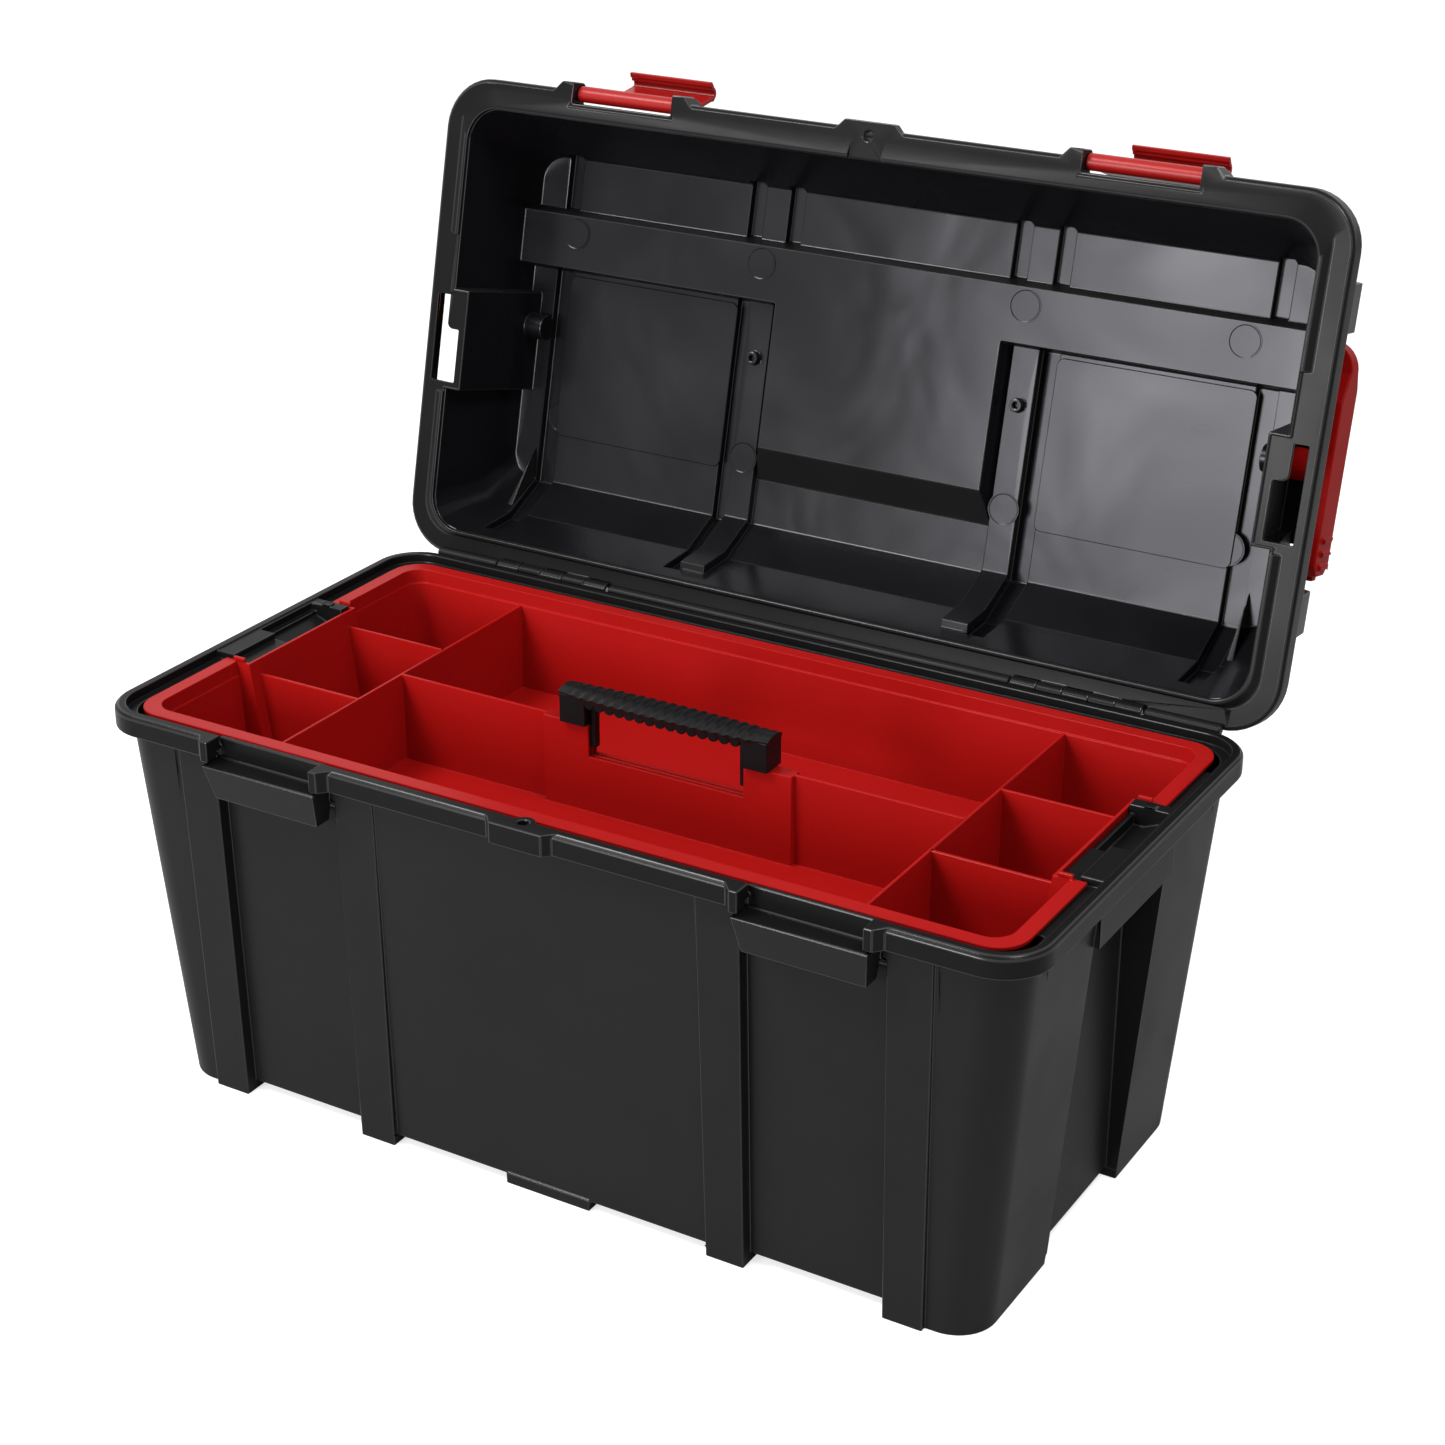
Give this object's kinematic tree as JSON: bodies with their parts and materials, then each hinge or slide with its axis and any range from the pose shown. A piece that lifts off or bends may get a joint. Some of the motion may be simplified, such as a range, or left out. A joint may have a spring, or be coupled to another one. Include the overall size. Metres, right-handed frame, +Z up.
{
  "type": "toolbox with tray",
  "caption": "Plastic toolbox with a hinged lid, swing latches, a folding carry handle and a lift-out tray divided for small parts.",
  "frame": {"origin": "centre of the base's underside, on the plane of its feet", "axes": "+X along the box to its right end, the front with the latches faces -Y, +Z up; the lid stands open"},
  "size_m": [0.581, 0.4322, 0.5213],
  "materials": {
    "black_plastic": "satin moulded polypropylene, glossier inside the lid",
    "red_plastic": "semi-gloss moulded polypropylene",
    "grip_plastic": "satin moulded polypropylene",
    "pin_steel": "bright drawn wire"
  },
  "bodies": {
    "base": {"base": "black_plastic", "hinge_pin_left": "pin_steel", "hinge_pin_right": "pin_steel"},
    "lid": {"lid": "black_plastic"},
    "tray": {"tray": "red_plastic", "tray_handle": "grip_plastic"},
    "latch_left": {"latch_left": "red_plastic"},
    "latch_right": {"latch_right": "red_plastic"},
    "carry_handle": {"carry_handle": "red_plastic"}
  },
  "joints": [
    {"name": "lid_hinge", "type": "hinge", "parent": "base", "child": "lid", "pos_m": [0, 0.1493, 0.2321], "axis": [-1, 0, 0], "range_deg": [-103.4, 0]},
    {"name": "latch_left_pivot", "type": "hinge", "parent": "lid", "child": "latch_left", "pos_m": [-0.166, 0.22838, 0.51271], "axis": [-1, 0, 0], "range_deg": [-158, 16]},
    {"name": "latch_right_pivot", "type": "hinge", "parent": "lid", "child": "latch_right", "pos_m": [0.166, 0.22838, 0.51271], "axis": [-1, 0, 0], "range_deg": [-164, 10]},
    {"name": "carry_handle_pivot", "type": "hinge", "parent": "lid", "child": "carry_handle", "pos_m": [0, 0.24272, 0.35715], "axis": [-1, 0, 0], "range_deg": [0, 90]},
    {"name": "tray_lift", "type": "slide", "parent": "base", "child": "tray", "axis": [0, 0, 1], "range_m": [0, 0.09]}
  ]
}
